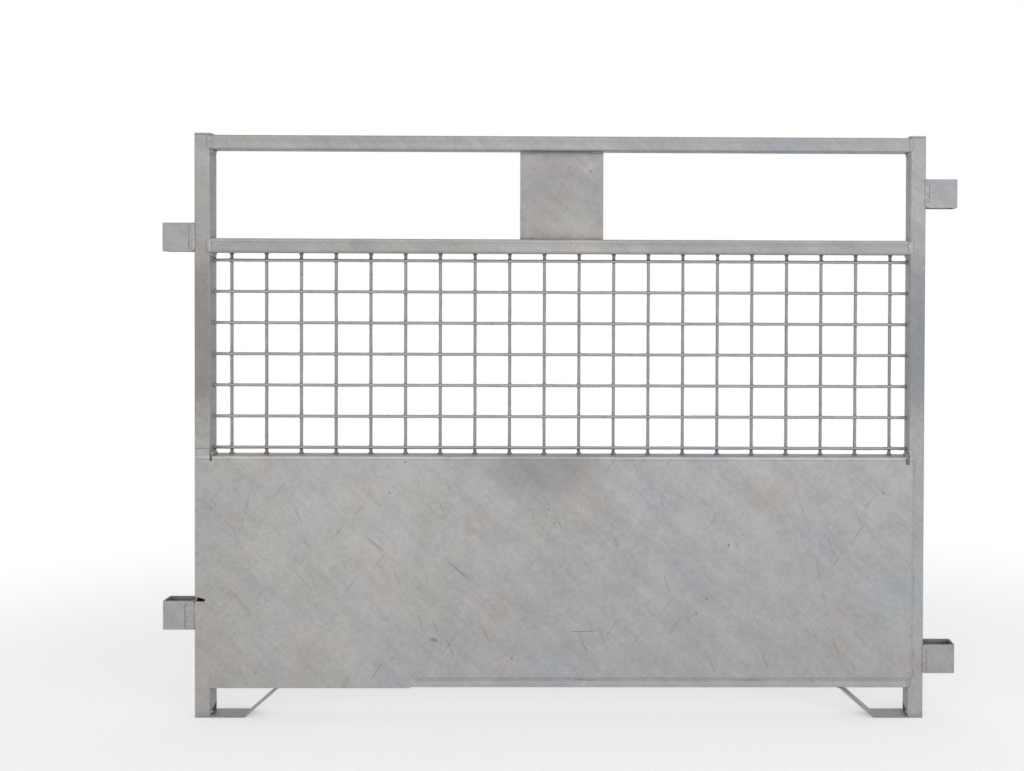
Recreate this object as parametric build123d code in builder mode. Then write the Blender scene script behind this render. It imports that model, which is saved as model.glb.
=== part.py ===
import math
import os

from build123d import *

# A lambing pen panel: a welded steel frame of square tube, with wire mesh in its upper part,
# a flanged sheet over its lower part, a blank plate, four pin sleeves and two strap feet.
# Millimetres. +X runs along the panel, +Y from its sheeted front to its back, +Z up.
# The origin is the middle of the left foot's flat underside.

# Frame
frame_width = 1150.0
frame_height = 920.0
post_size = 25.0
post_wall = 2.0
post_corner = 3.0
cap_thickness = 3.0
rail_height = 22.5
rail_wall = 2.0
rail_corner = 2.5
middle_rail_drop = 165.0
bottom_rail_underside = 47.5

# Drain notches at the posts' lower ends, and a vent notch above the lower left sleeve
drain_notch_height = 14.0
drain_notch_end = 4.0
drain_notch_run = 20.0
vent_notch_run = 18.0
vent_notch_rise = 8.5
vent_notch_end = 4.0
vent_notch_depth = 6.0

# Feet
foot_flat = 54.0
foot_thickness = 3.0
foot_bend = 6.0
foot_slope = 41.0

# Sleeves, as pieces of rectangular tube with an upright bore
sleeve_reach = 50.0
sleeve_height = 45.0
sleeve_wall = 2.0
sleeve_corner = 3.0
upper_left_sleeve_drop = 141.0
lower_left_sleeve_top = 184.0
upper_right_sleeve_drop = 68.0
lower_right_sleeve_top = 116.0

# Lower sheet
sheet_thickness = 2.0
sheet_left_inset = 2.0
sheet_fold_top = 413.5
sheet_bend = 1.5
sheet_tab_rise = 11.0
sheet_lap = 7.0
sheet_lower_edge = 62.5
sheet_step_start = 340.0
sheet_step_run = 12.0
left_relief_width = 4.0
left_relief_depth = 8.5
right_relief_width = 6.5
right_relief_depth = 12.5
right_relief_lap = 1.0

# Mesh
wire_size = 5.0
wire_bite = 0.4
wire_sides = 8
mesh_end_gap = 25.0
mesh_column_pitch = 55.0
mesh_row_pitch = 49.5
mesh_top_gap = 11.5
mesh_foot_gap = 6.0
mesh_back_setback = 3.5

# Plate
plate_width = 132.0
plate_thickness = 3.0
plate_setback = 15.0

# Welds
weld_crown = 1.2
weld_shoulder = 1.5
weld_depth = 1.5
weld_inset = 1.0
rail_weld_lap = 4.5
rail_weld_reach = 1.5
sleeve_weld_half = 4.0
ground_weld_reach = 15.0
rail_fillet_width = 2.5
rail_fillet_drop = 7.0
left_flange_fillet = (3.5, 7.0)
right_flange_fillet = (3.0, 4.5)
plate_weld_length = 20.0
plate_weld_leg = 2.5
foot_weld_leg = 4.0
foot_weld_inset = 1.5
stitch_leg = 3.0
side_stitches = ((1.0, 12.5), (31.0, 14.5), (140.5, 22.0), (310.0, 35.0))
lower_stitches = ((599.0, 33.0), (858.0, 33.0))

# Places that follow from the sizes above
left_post_inner = -foot_flat / 2
left_post_outer = left_post_inner - post_size
right_post_outer = left_post_outer + frame_width
right_post_inner = right_post_outer - post_size
panel_middle = (left_post_outer + right_post_outer) / 2
front = -post_size / 2
back = post_size / 2
post_height = frame_height - cap_thickness
post_flat = post_size - 2 * post_corner
inner_width = right_post_inner - left_post_inner
middle_rail_top = frame_height - middle_rail_drop
middle_rail_underside = middle_rail_top - rail_height
top_rail_underside = post_height - rail_height
sheet_front = front - sheet_thickness

pieces = {}
os.makedirs("parts", exist_ok=True)


def finish_piece(piece, name):
    """Label a finished piece, keep it for the pieces that fit it, and write it."""
    piece.part.label = name
    pieces[name] = piece.part
    export_step(piece.part, f"parts/{name}.step")


def bead_outline(start, end, face, way):
    """The outline in plan of a bead laid on a face, reaching into the groove between two pieces."""
    return (
        (start, face - way * weld_depth),
        (start, face),
        (start + weld_shoulder, face + way * weld_crown),
        (end - weld_shoulder, face + way * weld_crown),
        (end, face),
        (end, face - way * weld_depth),
    )


# Vent notch, cut through the sheet and the post's front wall, level with the sleeve's top
vent_notch = (
    (left_post_outer, lower_left_sleeve_top),
    (left_post_outer + vent_notch_run, lower_left_sleeve_top),
    (left_post_outer + vent_notch_run, lower_left_sleeve_top + vent_notch_end),
    (left_post_outer, lower_left_sleeve_top + vent_notch_rise),
)

# Posts, each a length of square tube standing on the ground
drain_front = drain_notch_run - back + post_wall
for post_name, post_x, post_inner, post_way in (
    ("left_post", left_post_outer + post_size / 2, left_post_inner, -1),
    ("right_post", right_post_outer - post_size / 2, right_post_inner, 1),
):
    with BuildPart() as post:
        with BuildSketch(Plane((post_x, 0, 0))):
            RectangleRounded(post_size, post_size, post_corner)
            offset(amount=-post_wall, mode=Mode.SUBTRACT)
        extrude(amount=post_height)
        # drain notch through the inner wall, just above the foot
        with BuildSketch(Plane.YZ.offset(post_inner)):
            Polygon(
                (-drain_front, foot_thickness),
                (back - post_wall, foot_thickness),
                (back - post_wall, foot_thickness + drain_notch_height),
                (-drain_front, foot_thickness + drain_notch_end),
                align=None,
            )
        extrude(amount=post_way * post_wall, mode=Mode.SUBTRACT)
        if post_name == "left_post":
            with BuildSketch(Plane.XZ.offset(-front)):
                Polygon(*vent_notch, align=None)
            extrude(amount=-vent_notch_depth, mode=Mode.SUBTRACT)
    finish_piece(post, post_name)

    # Cap, a flat plate welded over the post's top
    with BuildPart() as cap:
        with BuildSketch(Plane((post_x, 0, post_height))):
            RectangleRounded(post_size, post_size, post_corner)
        extrude(amount=cap_thickness)
    finish_piece(cap, f"{post_name}_cap")


# Rails, each a length of tube cut square between the posts
for rail_name, rail_underside in (
    ("top_rail", top_rail_underside),
    ("middle_rail", middle_rail_underside),
    ("bottom_rail", bottom_rail_underside),
):
    rail_start = Plane(
        (left_post_inner, 0, rail_underside + rail_height / 2), x_dir=(0, 1, 0), z_dir=(1, 0, 0)
    )
    with BuildPart() as rail:
        with BuildSketch(rail_start):
            RectangleRounded(post_size, rail_height, rail_corner)
            offset(amount=-rail_wall, mode=Mode.SUBTRACT)
        extrude(amount=inner_width)
    finish_piece(rail, rail_name)


# Plate between the top and middle rails, with a short weld fillet at each corner
plate_height = top_rail_underside - middle_rail_top
plate_front = front + plate_setback
with BuildPart() as blank_plate:
    with BuildSketch(Plane.XZ.offset(-plate_front)):
        with Locations((panel_middle, middle_rail_top + plate_height / 2)):
            Rectangle(plate_width, plate_height)
    extrude(amount=-plate_thickness)
    for weld_start in (panel_middle - plate_width / 2, panel_middle + plate_width / 2 - plate_weld_length):
        for weld_edge, weld_way in ((top_rail_underside, -1), (middle_rail_top, 1)):
            with BuildSketch(Plane.YZ.offset(weld_start)):
                Polygon(
                    (plate_front, weld_edge),
                    (plate_front - plate_weld_leg, weld_edge),
                    (plate_front, weld_edge + weld_way * plate_weld_leg),
                    align=None,
                )
            extrude(amount=plate_weld_length)
finish_piece(blank_plate, "blank_plate")


# Mesh, upright wires behind and level wires in front of them, welded where they cross
column_y = back - mesh_back_setback
row_y = column_y - wire_size + wire_bite
column_height = middle_rail_underside - sheet_fold_top
column_run = inner_width - 2 * mesh_end_gap
column_spaces = round(column_run / mesh_column_pitch)
row_spaces = int((column_height - mesh_top_gap - mesh_foot_gap) / mesh_row_pitch)
with BuildPart() as mesh_panel:
    with BuildSketch(Plane.XY.offset(sheet_fold_top)):
        for column in range(column_spaces + 1):
            column_x = left_post_inner + mesh_end_gap + column * column_run / column_spaces
            with Locations((column_x, column_y)):
                RegularPolygon(wire_size / 2, wire_sides, major_radius=False, rotation=180 / wire_sides)
    extrude(amount=column_height)
    with BuildSketch(Plane.YZ.offset(left_post_inner)):
        for row in range(row_spaces + 1):
            row_z = middle_rail_underside - mesh_top_gap - row * mesh_row_pitch
            with Locations((row_y, row_z)):
                RegularPolygon(wire_size / 2, wire_sides, major_radius=False, rotation=180 / wire_sides)
    extrude(amount=inner_width)
finish_piece(mesh_panel, "mesh_panel")


# Lower sheet, laid on the front of the frame, with its top folded back between the posts
sheet_left = left_post_outer + sheet_left_inset
sheet_right = right_post_inner + sheet_lap
sheet_tab_top = sheet_fold_top + sheet_tab_rise
fold_radius = sheet_bend + sheet_thickness
fold_left = left_post_inner + left_relief_width
fold_right = right_post_inner + right_relief_lap - right_relief_width
fold_start = sheet_fold_top - fold_radius
flange_start = sheet_front + fold_radius
flange_underside = sheet_fold_top - sheet_thickness
left_relief_end = sheet_fold_top - left_relief_depth
right_relief_end = sheet_fold_top - right_relief_depth
right_relief_round = right_relief_width / 2
with BuildPart() as lower_sheet:
    with BuildSketch(Plane.XZ.offset(-front)):
        with BuildLine():
            Polyline(
                (sheet_left, bottom_rail_underside),
                (left_post_outer + sheet_step_start, bottom_rail_underside),
                (left_post_outer + sheet_step_start + sheet_step_run, sheet_lower_edge),
                (sheet_right, sheet_lower_edge),
                (sheet_right, sheet_tab_top),
                (sheet_left, sheet_tab_top),
                close=True,
            )
        make_face()
        Polygon(*vent_notch, align=None, mode=Mode.SUBTRACT)
        # the sheet is cut down to the fold between its two tabs
        with Locations((left_post_inner, fold_start)):
            Rectangle(
                inner_width, sheet_tab_top - fold_start, align=(Align.MIN, Align.MIN), mode=Mode.SUBTRACT
            )
        # relief slots at both ends of the fold, the right one with a round end
        with Locations((left_post_inner, left_relief_end)):
            Rectangle(left_relief_width, left_relief_depth, align=(Align.MIN, Align.MIN), mode=Mode.SUBTRACT)
        with Locations((fold_right, right_relief_end + right_relief_round)):
            Rectangle(right_relief_width, right_relief_depth, align=(Align.MIN, Align.MIN), mode=Mode.SUBTRACT)
        with Locations((fold_right + right_relief_round, right_relief_end + right_relief_round)):
            Circle(right_relief_round, mode=Mode.SUBTRACT)
    extrude(amount=sheet_thickness)
    # the fold, between the slots
    with BuildSketch(Plane.YZ.offset(fold_left)):
        with BuildLine():
            RadiusArc((sheet_front, fold_start), (flange_start, sheet_fold_top), fold_radius)
            Line((flange_start, sheet_fold_top), (flange_start, flange_underside))
            RadiusArc((flange_start, flange_underside), (front, fold_start), -sheet_bend)
            Line((front, fold_start), (sheet_front, fold_start))
        make_face()
    extrude(amount=fold_right - fold_left)
    # the flange, from post to post and back to the frame's rear
    with BuildSketch(Plane.XY.offset(flange_underside)):
        with Locations((left_post_inner, flange_start)):
            Rectangle(inner_width, back - flange_start, align=(Align.MIN, Align.MIN))
    extrude(amount=sheet_thickness)
finish_piece(lower_sheet, "lower_sheet")


# Sleeves, offcuts of rectangular tube on the posts' outer faces, their bores upright
sleeves = {
    "upper_left_sleeve": (left_post_outer, -1, frame_height - upper_left_sleeve_drop),
    "lower_left_sleeve": (left_post_outer, -1, lower_left_sleeve_top),
    "upper_right_sleeve": (right_post_outer, 1, frame_height - upper_right_sleeve_drop),
    "lower_right_sleeve": (right_post_outer, 1, lower_right_sleeve_top),
}
for sleeve_name, (sleeve_side, sleeve_way, sleeve_top) in sleeves.items():
    with BuildPart() as sleeve:
        with BuildSketch(Plane((sleeve_side + sleeve_way * sleeve_reach / 2, 0, sleeve_top - sleeve_height))):
            RectangleRounded(sleeve_reach, post_size, sleeve_corner)
            offset(amount=-sleeve_wall, mode=Mode.SUBTRACT)
        extrude(amount=sleeve_height)
    finish_piece(sleeve, sleeve_name)


# Feet, flat strap bent up from the foot of each post to the bottom rail
slope = math.radians(foot_slope)
slope_run = bottom_rail_underside / math.tan(slope)
foot_spread = foot_thickness / math.sin(slope)
foot_inner_shift = foot_thickness * math.tan(slope / 2)
feet = {"left_foot": (left_post_inner, 1), "right_foot": (right_post_inner, -1)}
for foot_name, (foot_start, foot_way) in feet.items():
    with BuildPart() as foot:
        with BuildSketch(Plane.XZ.offset(-front)):
            with BuildLine():
                Polyline(
                    (foot_start, 0),
                    (foot_start + foot_way * foot_flat, 0),
                    (foot_start + foot_way * (foot_flat + slope_run), bottom_rail_underside),
                    (foot_start + foot_way * (foot_flat + slope_run - foot_spread), bottom_rail_underside),
                    (foot_start + foot_way * (foot_flat - foot_inner_shift), foot_thickness),
                    (foot_start, foot_thickness),
                    close=True,
                )
            make_face()
        extrude(amount=-post_size)
        bend_edges = foot.edges().filter_by(Axis.Y)
        outer_bend = bend_edges.sort_by_distance((foot_start + foot_way * foot_flat, 0, 0))[0]
        inner_bend = bend_edges.sort_by_distance(
            (foot_start + foot_way * (foot_flat - foot_inner_shift), 0, foot_thickness)
        )[0]
        fillet(outer_bend, foot_bend)
        fillet(inner_bend, foot_bend - foot_thickness)
    finish_piece(foot, foot_name)


# Rail welds, upright beads in the grooves beside the posts and fillets under the rails
for rail_name, rail_underside in (
    ("top_rail", top_rail_underside),
    ("middle_rail", middle_rail_underside),
    ("bottom_rail", bottom_rail_underside),
):
    full_bead = rail_height - 2 * weld_inset
    front_bead = sheet_lower_edge - rail_underside - 2 * weld_inset if rail_name == "bottom_rail" else full_bead
    with BuildPart() as rail_welds:
        for rail_end, end_way in ((left_post_inner, 1), (right_post_inner, -1)):
            bead_ends = sorted((rail_end - end_way * rail_weld_lap, rail_end + end_way * rail_weld_reach))
            with BuildSketch(Plane.XY.offset(rail_underside + weld_inset)):
                Polygon(*bead_outline(*bead_ends, back, 1), align=None)
            extrude(amount=full_bead)
            # the sheet covers the bottom rail's left end
            if rail_name != "bottom_rail" or end_way == -1:
                with BuildSketch(Plane.XY.offset(rail_underside + weld_inset)):
                    Polygon(*bead_outline(*bead_ends, front, -1), align=None)
                extrude(amount=front_bead)
            with BuildSketch(Plane.XZ.offset(post_flat / 2)):
                Polygon(
                    (rail_end, rail_underside),
                    (rail_end + end_way * rail_fillet_width, rail_underside),
                    (rail_end, rail_underside - rail_fillet_drop),
                    align=None,
                )
            extrude(amount=-post_flat)
        for neighbour in ("left_post", "right_post", rail_name):
            add(pieces[neighbour], mode=Mode.SUBTRACT)
    finish_piece(rail_welds, f"{rail_name}_welds")


# Flange welds, fillets between the flange's ends and the posts
with BuildPart() as flange_welds:
    for flange_end, end_way, (fillet_width, fillet_rise) in (
        (left_post_inner, 1, left_flange_fillet),
        (right_post_inner, -1, right_flange_fillet),
    ):
        with BuildSketch(Plane.XZ.offset(post_flat / 2)):
            Polygon(
                (flange_end, sheet_fold_top),
                (flange_end + end_way * fillet_width, sheet_fold_top),
                (flange_end, sheet_fold_top + fillet_rise),
                align=None,
            )
        extrude(amount=-post_flat)
finish_piece(flange_welds, "flange_welds")


# Sleeve welds, upright beads between each sleeve and its post, front and back
sleeve_bead = sleeve_height - 2 * weld_inset
for side_name, side_post in (("left", "left_post"), ("right", "right_post")):
    with BuildPart() as sleeve_welds:
        for sleeve_name in (f"upper_{side_name}_sleeve", f"lower_{side_name}_sleeve"):
            sleeve_side, sleeve_way, sleeve_top = sleeves[sleeve_name]
            bead_ends = (sleeve_side - sleeve_weld_half, sleeve_side + sleeve_weld_half)
            bead_foot = Plane.XY.offset(sleeve_top - sleeve_height + weld_inset)
            with BuildSketch(bead_foot):
                Polygon(*bead_outline(*bead_ends, back, 1), align=None)
                if sleeve_name == "lower_left_sleeve":
                    # ground smooth from the sheet's face down to the sleeve's
                    Polygon(
                        (sleeve_side - ground_weld_reach, front),
                        (sleeve_side, sheet_front),
                        (sleeve_side + post_corner, sheet_front),
                        (sleeve_side + post_corner, front + weld_depth),
                        (sleeve_side - ground_weld_reach, front + weld_depth),
                        align=None,
                    )
                else:
                    Polygon(*bead_outline(*bead_ends, front, -1), align=None)
            extrude(amount=sleeve_bead)
        for neighbour in (side_post, "lower_sheet", f"upper_{side_name}_sleeve", f"lower_{side_name}_sleeve"):
            add(pieces[neighbour], mode=Mode.SUBTRACT)
    finish_piece(sleeve_welds, f"{side_name}_sleeve_welds")


# Foot welds, fillets on both sides of each strap's upper end
with BuildPart() as foot_welds:
    for foot_start, foot_way in feet.values():
        strap_end = foot_start + foot_way * (foot_flat + slope_run)
        for weld_root, weld_way in ((strap_end, foot_way), (strap_end - foot_way * foot_spread, -foot_way)):
            with BuildSketch(Plane.XZ.offset(-front - foot_weld_inset)):
                Polygon(
                    (weld_root, bottom_rail_underside),
                    (weld_root + weld_way * foot_weld_leg, bottom_rail_underside),
                    (
                        weld_root - foot_way * foot_weld_leg * math.cos(slope),
                        bottom_rail_underside - foot_weld_leg * math.sin(slope),
                    ),
                    align=None,
                )
            extrude(amount=2 * foot_weld_inset - post_size)
finish_piece(foot_welds, "foot_welds")


# Sheet welds, short stitches along the sheet's right and lower edges
with BuildPart() as sheet_welds:
    for stitch_start, stitch_length in side_stitches:
        with BuildSketch(Plane.XY.offset(sheet_lower_edge + stitch_start)):
            Polygon((sheet_right, front), (sheet_right, sheet_front), (sheet_right + stitch_leg, front), align=None)
        extrude(amount=stitch_length)
    for stitch_start, stitch_length in lower_stitches:
        with BuildSketch(Plane.YZ.offset(left_post_outer + stitch_start)):
            Polygon(
                (front, sheet_lower_edge),
                (sheet_front, sheet_lower_edge),
                (front, sheet_lower_edge - stitch_leg),
                align=None,
            )
        extrude(amount=stitch_length)
finish_piece(sheet_welds, "sheet_welds")
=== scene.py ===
import math

import bpy
from mathutils import Matrix, Vector, noise


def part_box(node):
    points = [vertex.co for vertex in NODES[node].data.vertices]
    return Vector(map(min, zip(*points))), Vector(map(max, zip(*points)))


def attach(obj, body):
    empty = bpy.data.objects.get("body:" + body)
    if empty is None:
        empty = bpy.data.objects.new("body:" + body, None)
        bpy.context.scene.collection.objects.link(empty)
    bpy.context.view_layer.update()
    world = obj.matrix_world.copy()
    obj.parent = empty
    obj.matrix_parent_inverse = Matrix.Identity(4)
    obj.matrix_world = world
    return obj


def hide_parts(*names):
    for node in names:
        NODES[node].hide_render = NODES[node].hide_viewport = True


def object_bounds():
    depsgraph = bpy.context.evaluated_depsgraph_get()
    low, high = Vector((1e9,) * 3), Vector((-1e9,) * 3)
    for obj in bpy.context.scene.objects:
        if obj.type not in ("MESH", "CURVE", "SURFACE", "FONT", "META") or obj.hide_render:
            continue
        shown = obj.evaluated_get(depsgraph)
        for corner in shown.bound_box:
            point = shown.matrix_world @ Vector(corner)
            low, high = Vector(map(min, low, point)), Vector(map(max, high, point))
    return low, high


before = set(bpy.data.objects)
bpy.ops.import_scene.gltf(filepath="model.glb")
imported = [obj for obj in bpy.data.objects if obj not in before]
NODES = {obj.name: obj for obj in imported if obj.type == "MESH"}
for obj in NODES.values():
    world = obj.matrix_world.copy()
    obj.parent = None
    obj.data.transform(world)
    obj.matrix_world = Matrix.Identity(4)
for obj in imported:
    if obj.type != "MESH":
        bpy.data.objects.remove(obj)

bl_info = {
    "name": "Lambing pen panel",
    "version": (1, 0, 0),
    "blender": (4, 5, 0),
    "location": "3D View > Sidebar > Pen panel",
    "description": "Galvanised finishes, weld beads, wire mesh and a plain studio for the pen panel",
    "category": "Object",
}

# Every length is in metres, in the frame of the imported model.
bare_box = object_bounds()
PLATE_THICK = 0.003


# Sizes and colours that a user would change

class ZincLook(bpy.types.PropertyGroup):
    """Colours and grain of the hot-dip galvanised steel."""

    tone: bpy.props.FloatVectorProperty(
        name="Zinc", description="Plain colour of the weathered zinc",
        subtype="COLOR", size=3, min=0, max=1, default=(0.385, 0.379, 0.374))
    blue: bpy.props.FloatVectorProperty(
        name="Bluish zinc", description="Colour of the bluer clouds in the zinc",
        subtype="COLOR", size=3, min=0, max=1, default=(0.370, 0.381, 0.400))
    brown: bpy.props.FloatVectorProperty(
        name="Brownish zinc", description="Colour of the pinkish brown clouds in the zinc",
        subtype="COLOR", size=3, min=0, max=1, default=(0.394, 0.369, 0.352))
    olive: bpy.props.FloatVectorProperty(
        name="Greenish zinc", description="Colour of the greenish clouds in the zinc",
        subtype="COLOR", size=3, min=0, max=1, default=(0.372, 0.379, 0.360))
    dark: bpy.props.FloatVectorProperty(
        name="Dark marks", description="Colour of specks and scratches",
        subtype="COLOR", size=3, min=0, max=1, default=(0.085, 0.082, 0.08))
    rust: bpy.props.FloatVectorProperty(
        name="Rust", description="Colour of rusty marks and of the pits in the welds",
        subtype="COLOR", size=3, min=0, max=1, default=(0.16, 0.095, 0.065))
    smudge: bpy.props.FloatVectorProperty(
        name="Smudges", description="Colour of soft dark smudges",
        subtype="COLOR", size=3, min=0, max=1, default=(0.12, 0.122, 0.128))
    # This colour serves only the painted glints on the weld beads.
    pale: bpy.props.FloatVectorProperty(
        name="Pale marks", description="Colour of the places rubbed bright",
        subtype="COLOR", size=3, min=0, max=1, default=(0.56, 0.57, 0.585))
    cloud: bpy.props.FloatProperty(
        name="Cloud size", description="Width of the large colour clouds",
        subtype="DISTANCE", unit="LENGTH", min=0.01, default=0.16)
    grain: bpy.props.FloatProperty(
        name="Grain size", description="Width of the fine mottling",
        subtype="DISTANCE", unit="LENGTH", min=0.0005, default=0.006)
    slope: bpy.props.FloatProperty(
        name="Streak slope", description="How steeply the fine streaks run down to the right",
        subtype="ANGLE", unit="ROTATION", default=math.radians(42))
    # Reach of the painted shade: the zinc's colour is darkened this far from corners and inside bores
    corner_shade_reach: bpy.props.FloatProperty(
        name="Crevice reach", description="How far from a corner the zinc is dark with dirt",
        subtype="DISTANCE", unit="LENGTH", min=0.001, default=0.025)
    metallic: bpy.props.FloatProperty(
        name="Metallic", description="How metallic the weathered zinc still looks",
        subtype="FACTOR", min=0, max=1, default=0.35)


class WeldLook(bpy.types.PropertyGroup):
    """Sizes and colour of the weld beads."""

    ripple: bpy.props.FloatProperty(
        name="Ripple", description="Distance from one ripple of a bead to the next",
        subtype="DISTANCE", unit="LENGTH", min=0.0005, default=0.0024)
    crown: bpy.props.FloatProperty(
        name="Crown", description="How far a bead stands proud at its highest",
        subtype="DISTANCE", unit="LENGTH", min=0.0, default=0.0011)
    tone: bpy.props.FloatVectorProperty(
        name="Weld", description="Colour of the zinc over a weld",
        subtype="COLOR", size=3, min=0, max=1, default=(0.385, 0.386, 0.388))


class MeshLook(bpy.types.PropertyGroup):
    """Sizes of the drawn wires and of the zinc where they cross."""

    wire: bpy.props.FloatProperty(
        name="Wire", description="Diameter of a galvanised wire",
        subtype="DISTANCE", unit="LENGTH", min=0.001, default=0.0049)
    columns: bpy.props.IntProperty(
        name="Columns", description="How many wires stand upright", min=2, default=20)
    end_gap: bpy.props.FloatProperty(
        name="End gap", description="From a post to the first upright wire",
        subtype="DISTANCE", unit="LENGTH", min=0.0, default=0.025)
    rows: bpy.props.IntProperty(
        name="Rows", description="How many wires lie level", min=2, default=7)
    top_gap: bpy.props.FloatProperty(
        name="Top gap", description="From the middle rail to the first level wire",
        subtype="DISTANCE", unit="LENGTH", min=0.0, default=0.0115)
    row_pitch: bpy.props.FloatProperty(
        name="Row pitch", description="From one level wire to the next",
        subtype="DISTANCE", unit="LENGTH", min=0.005, default=0.0495)
    web: bpy.props.FloatProperty(
        name="Web", description="Reach of the zinc web at a crossing, from its middle",
        subtype="DISTANCE", unit="LENGTH", min=0.0, default=0.005)


class StudioLook(bpy.types.PropertyGroup):
    """Camera, lamps and floor."""

    place: bpy.props.FloatVectorProperty(
        name="Camera place", description="Where the camera stands",
        subtype="TRANSLATION", unit="LENGTH", size=3, default=(0.6181, -1.3956, 0.6775))
    heading: bpy.props.FloatProperty(
        name="Heading", description="Camera turned to the right of +Y",
        subtype="ANGLE", unit="ROTATION", default=math.radians(0.405))
    tilt: bpy.props.FloatProperty(
        name="Tilt", description="Camera tipped up",
        subtype="ANGLE", unit="ROTATION", default=math.radians(-0.513))
    roll: bpy.props.FloatProperty(
        name="Roll", description="Camera turned about its own axis",
        subtype="ANGLE", unit="ROTATION", default=math.radians(0.204))
    lens: bpy.props.FloatProperty(
        name="Focal length", description="Focal length on a sensor 36 mm wide",
        unit="CAMERA", min=1, default=30.91)
    shift: bpy.props.FloatVectorProperty(
        name="Shift", description="Shift of the picture, in picture widths",
        size=2, default=(-0.1128, -0.0866))
    floor: bpy.props.FloatVectorProperty(
        name="Floor", description="Colour of the floor",
        subtype="COLOR", size=3, min=0, max=1, default=(0.88, 0.88, 0.88))
    key: bpy.props.FloatProperty(
        name="Key lamp", description="Power of the large lamp in front",
        subtype="POWER", unit="POWER", min=0, default=64.0)
    top: bpy.props.FloatProperty(
        name="Top lamp", description="Power of the lamp overhead",
        subtype="POWER", unit="POWER", min=0, default=9.0)
    side: bpy.props.FloatProperty(
        name="Side lamps", description="Power of the cool and the warm lamp at the sides",
        subtype="POWER", unit="POWER", min=0, default=24.0)
    room: bpy.props.FloatProperty(
        name="Room light", description="Strength of the even light of the room",
        min=0, default=0.4)


LOOKS = (("pen_zinc", ZincLook), ("pen_weld", WeldLook), ("pen_mesh", MeshLook), ("pen_studio", StudioLook))


# The marks that stand out on the faces: kind, from (x, z), to (x, z), half width and depth of colour

SHEET_MARKS = {
    "patch under the top edge": ("smudge", (0.46, 0.40), (0.53, 0.395), 0.085, 0.36),
    "upper smear": ("smudge", (0.22, 0.285), (0.25, 0.26), 0.003, 0.4),
    "lower smear": ("smudge", (0.345, 0.25), (0.385, 0.215), 0.003, 0.38),
    "blot by the lower edge": ("smudge", (0.32, 0.125), (0.33, 0.123), 0.005, 0.5),
    "rusty streak": ("rust", (0.10, 0.24), (0.14, 0.195), 0.0013, 0.45),
    "level gouge": ("dark", (0.52, 0.137), (0.60, 0.139), 0.0008, 0.85),
    "large spot": ("dark", (0.789, 0.275), (0.789, 0.273), 0.0021, 0.95),
    "small spot": ("dark", (0.505, 0.33), (0.505, 0.329), 0.0016, 0.85),
    "long scratch, upper part": ("dark", (0.883, 0.397), (0.92, 0.285), 0.0009, 0.35),
    "long scratch, lower part": ("dark", (0.92, 0.285), (0.952, 0.134), 0.0009, 0.35),
    "scratch at the left": ("dark", (0.05, 0.405), (0.015, 0.275), 0.0007, 0.45),
    "gouge at the left": ("dark", (-0.003, 0.212), (0.033, 0.171), 0.0008, 0.6),
}
SLEEVE_MARKS = {
    "upper pit": ("dark", (-0.067, 0.175), (-0.067, 0.174), 0.0016, 0.8),
    "lower pit": ("dark", (-0.067, 0.146), (-0.067, 0.145), 0.0016, 0.8),
    "scratch": ("dark", (-0.074, 0.181), (-0.091, 0.143), 0.0007, 0.4),
}
PLATE_MARKS = {"rusty spot": ("rust", (0.569, 0.865), (0.569, 0.864), 0.0018, 0.9)}
LEFT_POST_MARKS = {"scuff": ("rust", (-0.051, 0.826), (-0.051, 0.84), 0.0012, 0.5)}
RIGHT_POST_MARKS = {"burnt zinc by the sleeve": ("rust", (1.076, 0.842), (1.092, 0.829), 0.003, 0.25)}


# Material nodes

def add(tree, kind, inputs=None, **settings):
    """One node, its settings and its inputs, each a value or another node's socket."""
    node = tree.nodes.new("ShaderNode" + kind)
    for name, value in settings.items():
        setattr(node, name, value)
    for name, value in (inputs or {}).items():
        if isinstance(value, bpy.types.NodeSocket):
            tree.links.new(value, node.inputs[name])
        else:
            node.inputs[name].default_value = value
    return node


def calc(tree, operation, first, second=0.0, third=0.0):
    """A sum of two values, or of three."""
    return add(tree, "Math", {0: first, 1: second, 2: third}, operation=operation).outputs[0]


def fit(tree, value, low, high, start=0.0, end=1.0):
    """A value's range carried smoothly over to another."""
    span = {"Value": value, "From Min": low, "From Max": high, "To Min": start, "To Max": end}
    return add(tree, "MapRange", span, interpolation_type="SMOOTHSTEP").outputs[0]


def mix(tree, share, first, second, way="MIX"):
    """Two colours mixed."""
    node = add(tree, "Mix", {0: share, 6: first, 7: second}, data_type="RGBA", blend_type=way)
    return node.outputs[2]


def cloud(tree, place, size, detail=3.0, rough=0.55):
    """Soft noise whose clouds are about that size."""
    inputs = {"Vector": place, "Scale": 1 / size, "Detail": detail, "Roughness": rough}
    return add(tree, "TexNoise", inputs).outputs[0]


def solid(colour):
    """A colour with its alpha."""
    return (*colour, 1.0)


def grey(tree, value):
    """A grey of that brightness, to multiply a colour by."""
    return add(tree, "CombineColor", {0: value, 1: value, 2: value}).outputs[0]


def streaks(tree, place, along, across):
    """Noise drawn out into streaks that run down to the right."""
    drawn = add(tree, "Mapping", {"Vector": place, "Rotation": (0, bpy.context.scene.pen_zinc.slope, 0),
                                  "Scale": (along, 1, across)}, vector_type="TEXTURE").outputs[0]
    return add(tree, "TexNoise", {"Vector": drawn, "Scale": 1.0, "Detail": 3.0, "Roughness": 0.55}).outputs[0]


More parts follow.
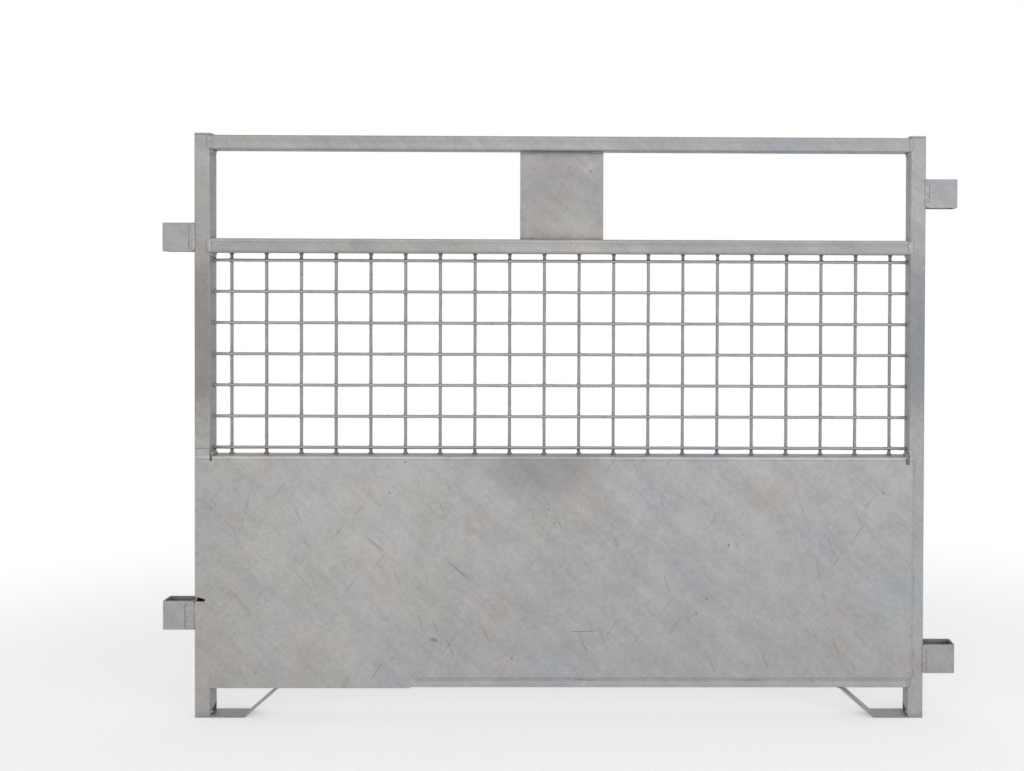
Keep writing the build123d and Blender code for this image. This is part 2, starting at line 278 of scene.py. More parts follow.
def wobble(tree, place, size, reach):
    """The place on a face that looks along Y, pushed about a little so that marks come out uneven."""
    push = add(tree, "TexNoise", {"Vector": place, "Scale": 1 / size, "Detail": 2.0}).outputs["Color"]
    push = add(tree, "VectorMath", {0: push, 1: (0.5, 0.5, 0.5)}, operation="SUBTRACT").outputs[0]
    push = add(tree, "VectorMath", {0: push, "Scale": reach}, operation="SCALE").outputs[0]
    moved = add(tree, "VectorMath", {0: place, 1: push}, operation="ADD").outputs[0]
    return add(tree, "VectorMath", {0: moved, 1: (1, 0, 1)}, operation="MULTIPLY").outputs[0]


def mark(tree, flat, start, end, half, depth):
    """A mask for one thin soft mark from start to end, each (x, z) on a face that looks along Y."""
    run_x, run_z = end[0] - start[0], end[1] - start[1]
    reach = math.hypot(run_x, run_z) / 2 + half
    middle = ((start[0] + end[0]) / 2, 0, (start[1] + end[1]) / 2)
    inputs = {"Vector": flat, "Location": middle, "Scale": (reach, 1, half),
              "Rotation": (0, -math.atan2(run_z, run_x), 0)}
    local = add(tree, "Mapping", inputs, vector_type="TEXTURE").outputs[0]
    away = add(tree, "VectorMath", {0: local}, operation="LENGTH").outputs["Value"]
    return fit(tree, away, 1.0, 0.3, 0.0, depth)


def hairs(tree, flat, slope, depth):
    """A mask for sparse hair scratches that all run at one slope."""
    drawn = add(tree, "Mapping", {"Vector": flat, "Rotation": (0, slope, 0), "Scale": (0.16, 1, 0.0065)},
                vector_type="TEXTURE").outputs[0]
    cells = add(tree, "TexVoronoi", {"Vector": drawn, "Scale": 1.0}, feature="F1")
    rare = fit(tree, add(tree, "SeparateColor", {0: cells.outputs["Color"]}).outputs[1], 0.6, 0.8, 0.0, depth)
    return calc(tree, "MULTIPLY", fit(tree, cells.outputs["Distance"], 0.15, 0.05), rare)


def band(tree, parts, axis, centre, half, amount, low=None, high=None):
    """A factor that is lighter or darker by that amount in a soft band along an axis.

    Where low and high are given, the band fades in along X from low to high, or out if low is the greater.
    """
    away = calc(tree, "ABSOLUTE", calc(tree, "SUBTRACT", parts.outputs[axis], centre))
    share = fit(tree, away, half, half * 0.3, 0.0, amount)
    if low is not None:
        share = calc(tree, "MULTIPLY", share, fit(tree, parts.outputs["X"], low, high))
    return calc(tree, "ADD", share, 1.0)


def zinc(name, bright=1.0, specks=0.5, roughness=0.52, bump=0.0005, drawn=0.04, front=None, bands=(),
         darker_middle=None, marks=None, scratched=0.0, joints=0.0, pits=0.0, tone=None):
    """Weathered galvanised steel: colour clouds, a painted tint of the side lamps, mottling, streaks, painted
    shade in corners, a darker middle band, specks and marks.

    front is where the front face lies along Y, and the darker middle band, marks and scratches are on that
    face only.
    """
    look = bpy.context.scene.pen_zinc
    material = bpy.data.materials.new(name)
    material.use_nodes = True
    tree = material.node_tree
    shader = tree.nodes["Principled BSDF"]
    place = add(tree, "TexCoord").outputs["Object"]
    parts = add(tree, "SeparateXYZ", {0: place})
    facing = fit(tree, parts.outputs["Y"], front + 0.0012, front + 0.0002) if front is not None else None
    # colour clouds, from bluish through plain to brownish and greenish, and a painted tint of the side lamps,
    # warmer at the left and cooler at the right
    clouds = cloud(tree, place, look.cloud, 4.0, 0.6)
    colour = mix(tree, fit(tree, clouds, 0.48, 0.7), solid(tone or look.tone), solid(look.blue))
    for shift, size, tint in ((3.1, 0.7, look.brown), (7.4, 0.5, look.olive)):
        moved = add(tree, "Mapping", {"Vector": place, "Location": (shift, 1.7, 0.4)}).outputs[0]
        share = fit(tree, cloud(tree, moved, look.cloud * size), 0.5, 0.7)
        colour = mix(tree, share, colour, solid(tint))
    # painted light: the colours of the warm and the cool side lamps, painted across the panel from left to
    # right
    lamp_tint_share = fit(tree, parts.outputs["X"], bare_box[0].x, bare_box[1].x)
    painted_lamp_tint = mix(tree, lamp_tint_share, (1.012, 1.0, 0.985, 1), (0.99, 1.0, 1.018, 1))
    colour = mix(tree, 1.0, colour, painted_lamp_tint, "MULTIPLY")
    # light and dark mottling at three sizes
    broad = cloud(tree, place, look.cloud * 0.3, 5.0, 0.65)
    broad = fit(tree, broad, 0.32, 0.7, 0.95 * bright, 1.05 * bright)
    fine = fit(tree, cloud(tree, place, look.grain, 4.0, 0.7), 0.3, 0.7, 0.95, 1.05)
    spangle = add(tree, "TexVoronoi", {"Vector": place, "Scale": 1 / (look.grain * 1.6)}, feature="F1")
    flake = add(tree, "SeparateColor", {0: spangle.outputs["Color"]}).outputs[0]
    flake = fit(tree, flake, 0.0, 1.0, 0.98, 1.02)
    shade = calc(tree, "MULTIPLY", calc(tree, "MULTIPLY", broad, fine), flake)
    if drawn:
        # fine streaks in patches, and a few broad ones
        hair = fit(tree, streaks(tree, place, 0.07, 0.0035), 0.34, 0.66, -drawn, drawn)
        patch = fit(tree, cloud(tree, place, 0.09, 2.0), 0.42, 0.6, 0.25, 1.0)
        wide = fit(tree, streaks(tree, place, 0.16, 0.022), 0.36, 0.62, 1 - drawn, 1 + drawn * 0.6)
        wash = calc(tree, "MULTIPLY", wide, calc(tree, "MULTIPLY_ADD", hair, patch, 1.0))
        shade = calc(tree, "MULTIPLY", shade, wash)
    for row in bands:
        shade = calc(tree, "MULTIPLY", shade, band(tree, parts, *row))
    # painted shade: ambient occlusion darkens the colour in corners, creases and bores, and under and between
    # the parts
    corner = add(tree, "AmbientOcclusion", {"Distance": look.corner_shade_reach}, samples=8).outputs["AO"]
    shade = calc(tree, "MULTIPLY", shade, fit(tree, corner, 0.1, 0.85, 0.3, 1.0))
    colour = mix(tree, 1.0, colour, grey(tree, shade), "MULTIPLY")
    # a band across the middle of the front face, darkened in the wash colour
    if darker_middle:
        low, full_low, full_high, high, wash = darker_middle
        ragged = calc(tree, "MULTIPLY", calc(tree, "SUBTRACT", cloud(tree, place, 0.03, 4.0, 0.7), 0.5), 0.12)
        height = calc(tree, "ADD", parts.outputs["Z"], ragged)
        inside = calc(tree, "MULTIPLY", fit(tree, height, low, full_low), fit(tree, height, high, full_high))
        washed = mix(tree, 1.0, colour, solid(wash), "MULTIPLY")
        colour = mix(tree, calc(tree, "MULTIPLY", inside, facing), colour, washed)
    # sparse dark specks of two sizes
    dots = add(tree, "TexVoronoi", {"Vector": place, "Scale": 150.0}, feature="F1")
    dot = calc(tree, "MULTIPLY", fit(tree, dots.outputs["Distance"], 0.24, 0.08),
               fit(tree, add(tree, "SeparateColor", {0: dots.outputs["Color"]}).outputs[1], 0.95, 0.995))
    large = add(tree, "TexVoronoi", {"Vector": place, "Scale": 42.0}, feature="F1")
    blot = calc(tree, "MULTIPLY", fit(tree, large.outputs["Distance"], 0.12, 0.05),
                fit(tree, add(tree, "SeparateColor", {0: large.outputs["Color"]}).outputs[2], 0.9, 0.97))
    dirt_and_shade = calc(tree, "MULTIPLY", calc(tree, "MAXIMUM", dot, blot), specks)
    # the darkness given with each point joins the specks: dirt at the toes and joints, and painted shade in
    # the troughs of the weld ripples
    if joints:
        depth = add(tree, "Attribute", attribute_name="dirt_and_shade_in_joints").outputs["Fac"]
        dirt_and_shade = calc(tree, "MAXIMUM", dirt_and_shade, calc(tree, "MULTIPLY", depth, joints))
    if pits:
        hole = fit(tree, cloud(tree, place, 0.0035, 3.0, 0.6), 0.54, 0.66, 0.0, pits)
        colour = mix(tree, hole, colour, solid(look.rust))
        # painted glints: small pale spots stand in for highlights on the lumps of the beads
        painted_glint = fit(tree, cloud(tree, place, 0.0048, 2.0), 0.36, 0.28, 0.0, 0.6)
        colour = mix(tree, painted_glint, colour, solid(look.pale))
    if marks:
        flat = wobble(tree, place, 0.006, 0.0016)
        broken = fit(tree, cloud(tree, place, 0.004, 3.0), 0.36, 0.56, 0.4, 1.0)
        broken = calc(tree, "MULTIPLY", broken, facing)
        for kind, start, end, half, depth in marks.values():
            share = calc(tree, "MULTIPLY", mark(tree, flat, start, end, half, depth),
                         facing if kind == "smudge" else broken)
            colour = mix(tree, share, colour, solid(getattr(look, kind)))
    if scratched:
        flat = add(tree, "VectorMath", {0: place, 1: (1, 0, 1)}, operation="MULTIPLY").outputs[0]
        for slope in (math.radians(68), math.radians(-55)):
            share = calc(tree, "MULTIPLY", hairs(tree, flat, slope, scratched), facing)
            colour = mix(tree, share, colour, solid(look.dark))
    colour = mix(tree, dirt_and_shade, colour, solid(look.dark))
    tree.links.new(colour, shader.inputs["Base Color"])
    shader.inputs["Metallic"].default_value = look.metallic
    rough = calc(tree, "ADD", fit(tree, clouds, 0.3, 0.7, roughness - 0.06, roughness + 0.08),
                 calc(tree, "MULTIPLY", dirt_and_shade, 0.2))
    tree.links.new(rough, shader.inputs["Roughness"])
    # low waves, fine grain and pits
    height = calc(tree, "ADD", calc(tree, "MULTIPLY", cloud(tree, place, 0.02, 2.0), 0.5),
                  calc(tree, "MULTIPLY", cloud(tree, place, 0.0022, 3.0), 0.35))
    height = calc(tree, "SUBTRACT", height, calc(tree, "MULTIPLY", dirt_and_shade, 0.35))
    lumps = add(tree, "Bump", {"Height": height, "Strength": 0.55, "Distance": bump})
    tree.links.new(lumps.outputs[0], shader.inputs["Normal"])
    return material


def weld_zinc(pits=0.45, bright=0.92):
    """The zinc over the welds, as grey as the tubes, with brown pits and small painted glints."""
    name = f"zinc_weld_{round(pits * 100)}"
    made = bpy.data.materials.get(name)
    return made or zinc(name, bright, specks=0.3, roughness=0.42, bump=0.0006, drawn=0.0, joints=0.7,
                        pits=pits, tone=bpy.context.scene.pen_weld.tone)


def paint(node, material):
    """The node's own finish is replaced by a richer one, and its mesh stays."""
    thing = NODES[node]
    for place in thing.material_slots:
        place.material = material
    if not thing.material_slots:
        thing.data.materials.append(material)


# Mesh pieces

class Shape:
    """Points, faces and how dark each point is painted, with dirt in the joints and painted shade in the
    ripple troughs of the welds, for one piece.
    """

    def __init__(self):
        self.points = []
        self.faces = []
        self.dirt_and_shade_rows = []
        self.kinds = []

    def rings(self, rings, dirt_and_shade_rows, kind=0):
        """Closed rings of points, joined in order and closed at both ends, in the finish of that number."""
        start, sides = len(self.points), len(rings[0])
        for ring, row in zip(rings, dirt_and_shade_rows):
            self.points.extend(ring)
            self.dirt_and_shade_rows.extend(row)
        for ring in range(len(rings) - 1):
            for side in range(sides):
                following = (side + 1) % sides
                a, b = start + ring * sides, start + (ring + 1) * sides
                self.faces.append((a + side, a + following, b + following, b + side))
        last = start + (len(rings) - 1) * sides
        self.faces.append(tuple(start + side for side in reversed(range(sides))))
        self.faces.append(tuple(last + side for side in range(sides)))
        self.kinds.extend([kind] * (len(self.faces) - len(self.kinds)))

    def piece(self, name, materials, replaced=()):
        """The finished object, in the frame's own place, riding on the panel."""
        mesh = bpy.data.meshes.new(name)
        mesh.from_pydata(self.points, [], self.faces)
        mesh.polygons.foreach_set("use_smooth", [True] * len(mesh.polygons))
        mesh.polygons.foreach_set("material_index", self.kinds)
        # each point's darkness, dirt in the joints and painted shade in the weld ripples, is kept for the
        # material
        depth = mesh.attributes.new("dirt_and_shade_in_joints", "FLOAT", "POINT")
        depth.data.foreach_set("value", self.dirt_and_shade_rows)
        for material in materials:
            mesh.materials.append(material)
        mesh.update()
        thing = bpy.data.objects.new(name, mesh)
        bpy.context.scene.collection.objects.link(thing)
        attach(thing, "root")
        if replaced:
            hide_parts(*replaced)
        return thing


def bead(shape, start, end, wall_a, wall_b, out, seed, crown=1.0, ripples=1.0, roots=((0.0, 0.0012),)):
    """A rippled weld bead from start to end, in the corner between two walls.

    wall_a and wall_b run from the corner to the bead's toes, and out points away from the steel.
    Each root is a point inside the steel, as far along wall_a and as deep as it says.
    """
    look = bpy.context.scene.pen_weld
    across = 9
    start, end = Vector(start), Vector(end)
    a, b, out = Vector(wall_a), Vector(wall_b), Vector(out).normalized()
    total = (end - start).length
    width = (a - b).length
    steps = max(6, int(total / (look.ripple / 5)))
    rings, dirt_and_shade_rows = [], []
    for step in range(steps + 1):
        gone = total * step / steps
        centre = start.lerp(end, step / steps)
        near_end = min(1.0, min(gone, total - gone) / (width * 0.4))
        taper = math.sqrt(max(0.0, 1 - (1 - near_end) ** 2))
        lump = noise.noise(Vector((gone * 170, seed, 0.3)))
        sway = noise.noise(Vector((gone * 230, seed, 7.3))) * 0.1
        reach = (1 + 0.16 * lump) * (0.3 + 0.7 * taper)
        ring, row = [], []
        for j in range(across):
            u = j / (across - 1)
            arch = 4 * u * (1 - u)
            phase = (gone / look.ripple - 0.75 * arch + seed) % 1.0
            grit = noise.noise(Vector((gone * 900, u * 3, seed))) * 0.1
            proud = arch * (0.62 + 0.2 * lump + grit) + ripples * arch ** 0.5 * (1 - phase) * 0.3
            proud = min(1.0, max(0.0, proud)) * crown * look.crown * taper
            ring.append(centre + a * (reach * (1 - u)) + b * (reach * u) + (a - b) * sway * arch + out * proud)
            toe = max(0.0, 0.35 + 1.1 * noise.noise(Vector((gone * 150, u * 2, seed + 4))))
            # dark at the toes with dirt, and painted shade in the trough of each ripple
            row.append(min(1.0, max((1 - arch) ** 3 * toe, ripples * 0.5 * phase ** 4 * arch)))
        for along, deep in roots:
            ring.append(centre + a * along - out * deep)
            row.append(0.6)
        rings.append(ring)
        dirt_and_shade_rows.append(row)
    shape.rings(rings, dirt_and_shade_rows)


def groove_bead(shape, x, way, low, high, half, seed, crown=1.0, ripples=1.0):
    """An upright bead over the groove beside a post, on the front face (way -1) or the rear one (way 1)."""
    depth = abs(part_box("left_post")[0].y)
    bead(shape, (x, way * depth, low), (x, way * depth, high), (-half, 0, 0), (half, 0, 0), (0, way, 0), seed,
         crown, ripples, ((-0.35, 0.0012), (0.35, 0.0012)))


def wire(shape, start, end, radius, seed, flares=(0.0, 0.0), kind=0):
    """A straight wire whose zinc coat is a little uneven and pools at its two ends."""
    sides = 12
    start, end = Vector(start), Vector(end)
    run = (end - start).normalized()
    side = run.orthogonal().normalized()
    other = run.cross(side)
    total = (end - start).length
    steps = int(total / 0.004)
    rings, dirt_and_shade_rows = [], []
    for step in range(steps + 1):
        share = step / steps
        # the steps draw together towards the ends, where the zinc flares
        gone = total * (share - 0.5 * math.sin(2 * math.pi * share) / math.pi * 0.7)
        centre = start + run * gone
        swell = noise.noise(Vector((gone * 55, seed, 1.1))) + noise.noise(Vector((gone * 260, seed, 5.2)))
        coat = 1 + 0.07 * swell
        for flare, away in ((flares[0], gone), (flares[1], total - gone)):
            coat += flare * max(0.0, 1 - away / 0.0045) ** 2
        sway = Vector([noise.noise(Vector((gone * 18, seed, row))) * 0.00025 for row in (2.0, 9.0)])
        hold = min(1.0, min(gone, total - gone) / 0.02)
        ring = []
        for j in range(sides):
            turn = 2 * math.pi * j / sides
            ring.append(centre + side * (sway.x * hold + math.cos(turn) * radius * coat)
                        + other * (sway.y * hold + math.sin(turn) * radius * coat))
        rings.append(ring)
        # darker towards the wire's far end
        dirt_and_shade_rows.append([max(0.0, 1 - (total - gone) / 0.006) * flares[1]] * sides)
    shape.rings(rings, dirt_and_shade_rows, kind)


def web(shape, centre, reach, seed):
    """The zinc that fills the corners where a level wire is welded to an upright one."""
    around, layers = 16, ((-0.0016, 0.55), (-0.0008, 0.92), (0.0, 1.0), (0.0008, 0.92), (0.0016, 0.55))
    rings, dirt_and_shade_rows = [], []
    for height, spread in layers:
        ring = []
        for j in range(around):
            turn = 2 * math.pi * j / around
            corner = abs(math.sin(2 * turn)) ** 1.5
            pool = 0.1 + 0.9 * noise.noise(Vector((math.cos(turn) * 1.3, math.sin(turn) * 1.3, seed)))
            spoke = reach * spread * (0.74 + corner * 0.4 * pool)
            ring.append(centre + Vector((math.cos(turn) * spoke, height, math.sin(turn) * spoke)))
        rings.append(ring)
        dirt_and_shade_rows.append([0.3] * around)
    shape.rings(rings, dirt_and_shade_rows)


# Operators, one for each piece or group of like pieces

class PENPANEL_OT_zinc(bpy.types.Operator):
    """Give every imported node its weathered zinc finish"""

    bl_idname = "penpanel.zinc"
    bl_label = "Zinc finishes"

    def execute(self, context):
        post_top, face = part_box("left_post")[1].z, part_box("left_post")[0].y
        seam, legs = ("Z", post_top, 0.0010, -0.6), ("Z", 0.0, 0.38, 0.08)
        for side, wash, marks in (("left", (0.70, 0.665, 0.64), LEFT_POST_MARKS),
                                  ("right", (0.69, 0.70, 0.72), RIGHT_POST_MARKS)):
            paint(f"{side}_post", zinc(f"zinc_{side}_post", 0.92, front=face, bands=(seam, legs),
                                       darker_middle=(0.43, 0.53, 0.65, 0.83, wash), marks=marks))
        for side in ("left", "right"):
            paint(f"{side}_post_cap", zinc(f"zinc_{side}_cap", 1.0, bands=(seam,), drawn=0.0))
        # Painted reflection on the top rail: a darker band, and a painted highlight along the lower rounded
        # edge that fades out towards the right.
        paint("top_rail", zinc("zinc_top_rail", 0.88, front=face, bands=(
            ("Z", 0.909, 0.004, -0.05), ("Z", 0.901, 0.003, 0.05, 0.7, 0.4))))
        # Painted highlight along the middle rail's top edge, and painted reflection bands below it, some
        # lighter and some darker; one light line fades out towards the right.
        paint("middle_rail", zinc("zinc_middle_rail", 0.85, front=face, bands=(
            ("Z", 0.7535, 0.0030, 0.10), ("Z", 0.7485, 0.0026, -0.11), ("Z", 0.7453, 0.0012, -0.11),
            ("Z", 0.7466, 0.0008, 0.12, 0.6, 0.4), ("Z", 0.7356, 0.0014, -0.14), ("Z", 0.7341, 0.0008, 0.05))))
        # Painted shadow along the bottom rail, just under the sheet's lower edge.
        paint("bottom_rail", zinc("zinc_bottom_rail", 1.05, front=face,
                                  bands=(("Z", 0.0622, 0.0065, -0.15),)))
        paint("blank_plate", zinc("zinc_plate", 0.8, front=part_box("blank_plate")[1].y - PLATE_THICK,
                                  tone=(0.385, 0.368, 0.36),
                                  bands=(("Z", 0.885, 0.030, 0.06),), marks=PLATE_MARKS))
        for side, marks, bright in (("left", SLEEVE_MARKS, 0.92), ("right", None, 0.9)):
            finish = zinc(f"zinc_{side}_sleeve", bright, bump=0.0006, front=face, marks=marks)
            for level in ("upper", "lower"):
                paint(f"{level}_{side}_sleeve", finish)
        strap = zinc("zinc_strap", 0.88, specks=0.7)
        for node in ("left_foot", "right_foot"):
            paint(node, strap)
        # Of the sheet's bands, the second is a painted highlight on the bend of the top fold, the third
        # painted shade just under it, and the fourth a painted shadow line along the lower edge, from x 0.3
        # rightwards, where the sheet stands proud of the bottom rail.
        paint("lower_sheet", zinc("zinc_sheet", 0.98, front=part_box("lower_sheet")[0].y, marks=SHEET_MARKS,
                                  scratched=0.4, bands=(
            ("X", 0.17, 0.22, 0.08), ("Z", 0.4112, 0.0022, 0.3), ("Z", 0.4085, 0.0011, -0.18),
            ("Z", 0.0638, 0.0012, -0.25, 0.28, 0.32), ("X", 1.0785, 0.0012, -0.1))))
        return {"FINISHED"}


class PENPANEL_OT_mesh(bpy.types.Operator):
    """Draw the round wires of the mesh, with the zinc webs where they cross"""

    bl_idname = "penpanel.mesh"
    bl_label = "Wire mesh"

    def execute(self, context):
        look = context.scene.pen_mesh
        low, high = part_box("mesh_panel")
        radius = look.wire / 2
        column_y, row_y = high.y - radius, low.y + radius
        run = high.x - low.x - 2 * look.end_gap
        columns = [low.x + look.end_gap + run * i / (look.columns - 1) for i in range(look.columns)]
        rows = [high.z - look.top_gap - look.row_pitch * i for i in range(look.rows)]
        shape = Shape()
        for i, x in enumerate(columns):
            wire(shape, (x, column_y, low.z), (x, column_y, high.z), radius, i * 3.7, (0.9, 0.5), 1)
        for i, z in enumerate(rows):
            wire(shape, (low.x, row_y, z), (high.x, row_y, z), radius, 90 + i * 5.3, (0.4, 0.4))
        for i, x in enumerate(columns):
            for j, z in enumerate(rows):
                web(shape, Vector((x, (column_y + row_y) / 2, z)), look.web, i * 7.1 + j * 1.9)
        # The upright wires get a darker copy of the level wires' zinc: painted shade.
        level = zinc("zinc_level_wire", 0.94, specks=0.8, joints=0.6, drawn=0.0)
        upright = zinc("zinc_upright_wire", 0.76, specks=0.8, joints=0.8, drawn=0.0)
        shape.piece("mesh_wires", (level, upright), ["mesh_panel"])
        return {"FINISHED"}


class PENPANEL_OT_rail_welds(bpy.types.Operator):
    """Lay the weld beads between the rails and the posts"""

    bl_idname = "penpanel.rail_welds"
    bl_label = "Rail welds"

    def execute(self, context):
        finish = weld_zinc()
        for rail, seed in (("top_rail", 1.0), ("middle_rail", 2.3), ("bottom_rail", 3.9)):
            low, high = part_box(rail)
            shape = Shape()
            bottom = rail == "bottom_rail"
            for x, way in ((low.x, 1), (high.x, -1)):
                middle = x - way * 0.0015
                groove_bead(shape, middle, 1, low.z + 0.001, high.z - 0.001, 0.0038, seed + way)
                if not bottom:
                    groove_bead(shape, middle, -1, low.z + 0.001, high.z - 0.001, 0.0040, seed - way)
                elif way == -1:
                    sheet_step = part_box("lower_sheet")[0].z + 0.0145
                    groove_bead(shape, middle, -1, low.z + 0.001, sheet_step, 0.0036, seed)
                bead(shape, (x, -0.0093, low.z), (x, 0.0093, low.z), (way * 0.0025, 0, 0), (0, 0, -0.007),
                     (way, 0, -0.4), seed * way, 0.6)
            shape.piece(f"{rail}_beads", [finish], [f"{rail}_welds"])
        return {"FINISHED"}


class PENPANEL_OT_sleeve_welds(bpy.types.Operator):
    """Lay the weld beads between the sleeves and the posts"""

    bl_idname = "penpanel.sleeve_welds"
    bl_label = "Sleeve welds"

    def execute(self, context):
        post_face, sheet_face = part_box("left_post")[0].y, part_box("lower_sheet")[0].y
        for side, way in (("left", -1), ("right", 1)):
            shape = Shape()
            finish = weld_zinc(0.3 if side == "left" else 0.6)
            for level, seed in (("upper", 5.1), ("lower", 6.7)):
                low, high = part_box(f"{level}_{side}_sleeve")
                joint = high.x if way == -1 else low.x
                ends = (low.z + 0.001, high.z - 0.001)
                groove_bead(shape, joint, 1, *ends, 0.0042, seed + way)
                if (side, level) == ("left", "lower"):
                    # ground smooth, from the sheet's edge down to the sleeve's face
                    rise = (sheet_face - post_face) / 2
                    x, y = joint - 0.0075, post_face + rise
                    bead(shape, (x, y, ends[0]), (x, y, ends[1]), (0.0098, rise * 0.8, 0),
                         (-0.0076, -rise, 0), (-0.13, -1, 0), seed, 0.1, 0.0,
                         ((-0.1, 0.0021), (0.9, 0.0024)))
                elif side == "left":
                    groove_bead(shape, joint - 0.003, -1, *ends, 0.0055, seed)
                else:
                    groove_bead(shape, joint + 0.0015, -1, *ends, 0.0040, seed)
            shape.piece(f"{side}_sleeve_beads", [finish], [f"{side}_sleeve_welds"])
        return {"FINISHED"}


class PENPANEL_OT_small_welds(bpy.types.Operator):
    """Lay the weld beads of the flange, the plate, the feet and the sheet's edges"""

    bl_idname = "penpanel.small_welds"
    bl_label = "Small welds"

    def execute(self, context):
        finish = weld_zinc()
        self.flange(finish)
        self.plate(finish)
        self.feet(finish)
        self.sheet(finish)
        return {"FINISHED"}

    def flange(self, finish):
        shape = Shape()
        low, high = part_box("flange_welds")
        for x, way, width, rise in ((low.x, 1, 0.0035, 0.007), (high.x, -1, 0.003, 0.0045)):
            bead(shape, (x, low.y, low.z), (x, high.y, low.z), (way * width, 0, 0), (0, 0, rise), (way, 0, 1),
                 7.7 * way, 0.5)
        shape.piece("flange_beads", [finish], ["flange_welds"])

    def plate(self, finish):
        shape = Shape()
        low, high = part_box("blank_plate")
        length, leg, face = 0.02, 0.0025, high.y - PLATE_THICK
        for i, x in enumerate((low.x, high.x - length)):
            for z, way in ((low.z, 1), (high.z, -1)):
                bead(shape, (x, face, z), (x + length, face, z), (0, -leg, 0), (0, 0, way * leg),
                     (0, -1, way), 9.3 + i * 2 + way, 0.55)
        shape.piece("plate_beads", [finish])

    def feet(self, finish):
        shape = Shape()
        low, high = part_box("foot_welds")
        leg, slope = 0.004, math.radians(41)
        for foot, way in (("left_foot", 1), ("right_foot", -1)):
            box_low, box_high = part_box(foot)
            outer = box_high.x if way == 1 else box_low.x
            for x, side in ((outer, way), (outer - way * 0.003 / math.sin(slope), -way)):
                down = (-way * leg * math.cos(slope), 0, -leg * math.sin(slope))
                bead(shape, (x, low.y, high.z), (x, high.y, high.z), (side * leg, 0, 0), down,
                     (side, 0, -0.8), 11.9 + x * 9, 0.4)
        shape.piece("foot_beads", [finish], ["foot_welds"])

    def sheet(self, finish):
        shape = Shape()
        low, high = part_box("sheet_welds")
        edge_x, edge_z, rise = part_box("lower_sheet")[1].x, 0.0625, (low.y - high.y) * 0.8
        for z, length in ((0.0635, 0.0125), (0.0935, 0.0145), (0.203, 0.022), (0.3725, 0.035)):
            bead(shape, (edge_x, high.y, z), (edge_x, high.y, z + length), (high.x - edge_x, 0, 0),
                 (0, rise, 0), (1, -1, 0), 13.1 + z * 50, 0.3)
        for x in (0.547, 0.806):
            bead(shape, (x, high.y, edge_z), (x + 0.033, high.y, edge_z), (0, rise, 0),
                 (0, 0, low.z - edge_z), (0, -1, -1), 17.3 + x * 20, 0.3)
        shape.piece("sheet_beads", [finish], ["sheet_welds"])


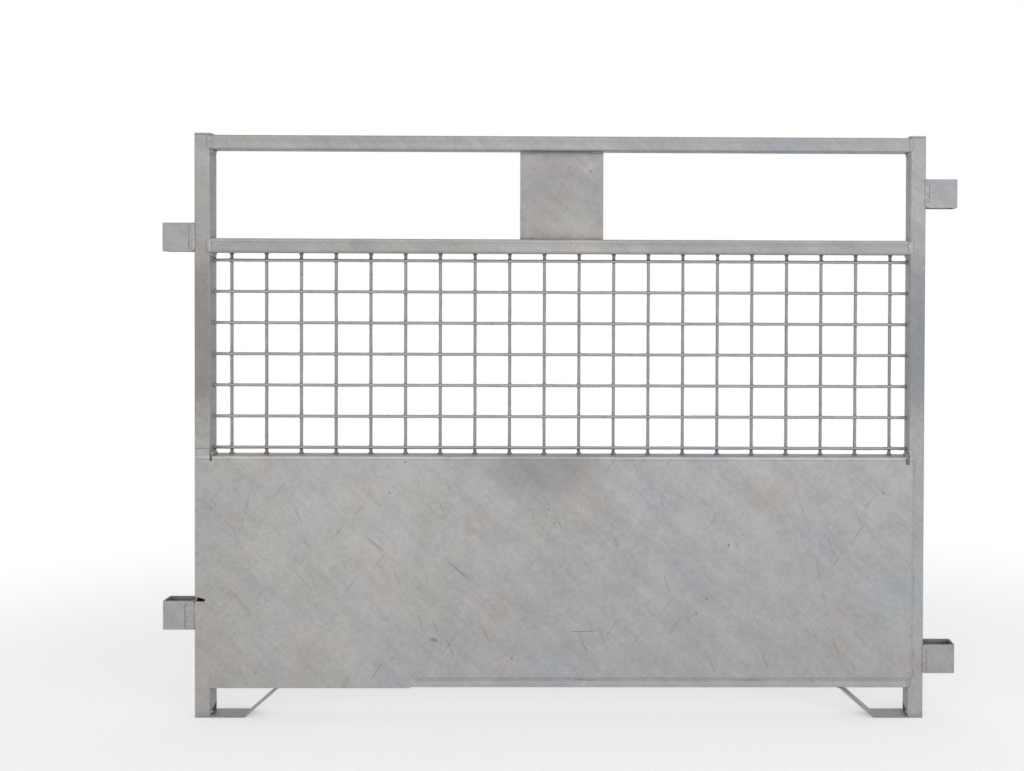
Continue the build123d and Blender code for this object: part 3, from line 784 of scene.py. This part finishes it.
class PENPANEL_OT_stage(bpy.types.Operator):
    """Add the pale floor, the soft studio light and the camera"""

    bl_idname = "penpanel.stage"
    bl_label = "Studio"

    def execute(self, context):
        look = context.scene.pen_studio
        context.scene.view_settings.view_transform = "Standard"
        self.floor(look)
        self.world(context, look)
        middle = (bare_box[0] + bare_box[1]) / 2
        self.lamp("key_lamp", (middle.x, -4.0, 0.8), middle, (3.6, 2.6), look.key)
        self.lamp("top_lamp", (middle.x + 0.2, 0.3, 3.2), middle, (3.0, 2.0), look.top)
        self.lamp("cool_lamp", (middle.x + 3.0, -2.2, 1.0), middle, (1.6, 1.6), look.side, (0.82, 0.91, 1.0))
        self.lamp("warm_lamp", (middle.x - 3.0, -2.2, 1.0), middle, (1.6, 1.6), look.side * 0.45,
                  (1.0, 0.93, 0.87))
        self.camera(context, look)
        return {"FINISHED"}

    def floor(self, look):
        mesh = bpy.data.meshes.new("studio_floor")
        reach = 14.0
        corners = [(-reach, -reach, 0), (reach, -reach, 0), (reach, reach, 0), (-reach, reach, 0)]
        mesh.from_pydata(corners, [], [(0, 1, 2, 3)])
        floor = bpy.data.objects.new("studio_floor", mesh)
        bpy.context.scene.collection.objects.link(floor)
        material = bpy.data.materials.new("pale_floor")
        material.use_nodes = True
        tree = material.node_tree
        shader = tree.nodes["Principled BSDF"]
        shader.inputs["Base Color"].default_value = solid(look.floor)
        shader.inputs["Roughness"].default_value = 0.9
        path = add(tree, "LightPath")
        seen = calc(tree, "MAXIMUM", path.outputs["Is Camera Ray"], path.outputs["Is Glossy Ray"])
        # the floor turns to plain white away from the panel, so no horizon shows
        place = add(tree, "TexCoord").outputs["Object"]
        middle = (bare_box[0] + bare_box[1]) / 2
        nearest = add(tree, "Clamp", {"Value": add(tree, "SeparateXYZ", {0: place}).outputs["X"],
                                      "Min": bare_box[0].x, "Max": bare_box[1].x}).outputs[0]
        centre = add(tree, "CombineXYZ", {"X": nearest, "Y": middle.y}).outputs[0]
        away = add(tree, "VectorMath", {0: place, 1: centre}, operation="DISTANCE").outputs["Value"]
        far = fit(tree, away, 0.25, 1.1)
        shader.inputs["Emission Color"].default_value = (1, 1, 1, 1)
        tree.links.new(calc(tree, "MULTIPLY", seen, 0.36), shader.inputs["Emission Strength"])
        white = add(tree, "Emission", {"Color": (1, 1, 1, 1), "Strength": 1.0})
        share = calc(tree, "MULTIPLY", far, seen)
        blend = add(tree, "MixShader", {0: share, 1: shader.outputs[0], 2: white.outputs[0]})
        tree.links.new(blend.outputs[0], tree.nodes["Material Output"].inputs["Surface"])
        mesh.materials.append(material)

    def world(self, context, look):
        world = bpy.data.worlds.new("studio_world")
        world.use_nodes = True
        tree = world.node_tree
        path = add(tree, "LightPath")
        seen = calc(tree, "MAXIMUM", path.outputs["Is Camera Ray"],
                    calc(tree, "MAXIMUM", path.outputs["Is Glossy Ray"], path.outputs["Is Transmission Ray"]))
        background = tree.nodes["Background"]
        background.inputs["Color"].default_value = (1, 1, 1, 1)
        tree.links.new(fit(tree, seen, 0.0, 1.0, look.room, 1.0), background.inputs["Strength"])
        context.scene.world = world

    def lamp(self, name, place, target, size, power, colour=(1, 1, 1)):
        light = bpy.data.lights.new(name, "AREA")
        light.color = colour
        light.shape = "RECTANGLE"
        light.size, light.size_y = size
        light.energy = power
        lamp = bpy.data.objects.new(name, light)
        lamp.location = place
        lamp.rotation_euler = (Vector(place) - target).to_track_quat("Z", "Y").to_euler()
        bpy.context.scene.collection.objects.link(lamp)

    def camera(self, context, look):
        level = math.cos(look.tilt)
        ahead = Vector((math.sin(look.heading) * level, math.cos(look.heading) * level, math.sin(look.tilt)))
        side = Vector((math.cos(look.heading), -math.sin(look.heading), 0))
        above = side.cross(ahead)
        right = side * math.cos(look.roll) + above * math.sin(look.roll)
        upright = above * math.cos(look.roll) - side * math.sin(look.roll)
        data = bpy.data.cameras.new("camera")
        data.sensor_width = 36.0
        data.lens = look.lens
        data.shift_x, data.shift_y = look.shift
        camera = bpy.data.objects.new("camera", data)
        camera.location = look.place
        camera.rotation_euler = Matrix((right, upright, -ahead)).transposed().to_euler()
        bpy.context.scene.collection.objects.link(camera)
        context.scene.camera = camera


class PENPANEL_PT_pieces(bpy.types.Panel):
    """Lists the pieces of the pen panel"""

    bl_label = "Pen panel"
    bl_idname = "PENPANEL_PT_pieces"
    bl_space_type = "VIEW_3D"
    bl_region_type = "UI"
    bl_category = "Pen panel"

    def draw(self, context):
        for name, group in LOOKS:
            box = self.layout.box()
            for key in group.__annotations__:
                box.prop(getattr(context.scene, name), key)
        for operator in PIECES:
            self.layout.operator(operator.bl_idname)


PIECES = (PENPANEL_OT_zinc, PENPANEL_OT_mesh, PENPANEL_OT_rail_welds, PENPANEL_OT_sleeve_welds,
          PENPANEL_OT_small_welds, PENPANEL_OT_stage)


def register():
    """Register the looks, the operators and the panel."""
    for name, group in LOOKS:
        bpy.utils.register_class(group)
        setattr(bpy.types.Scene, name, bpy.props.PointerProperty(type=group))
    for operator in PIECES:
        bpy.utils.register_class(operator)
    bpy.utils.register_class(PENPANEL_PT_pieces)


def unregister():
    """Take away what register added."""
    bpy.utils.unregister_class(PENPANEL_PT_pieces)
    for operator in reversed(PIECES):
        bpy.utils.unregister_class(operator)
    for name, group in reversed(LOOKS):
        delattr(bpy.types.Scene, name)
        bpy.utils.unregister_class(group)


def main():
    """Build every piece."""
    register()
    for operator in PIECES:
        space, action = operator.bl_idname.split(".")
        getattr(getattr(bpy.ops, space), action)()


if __name__ == "__main__":
    main()
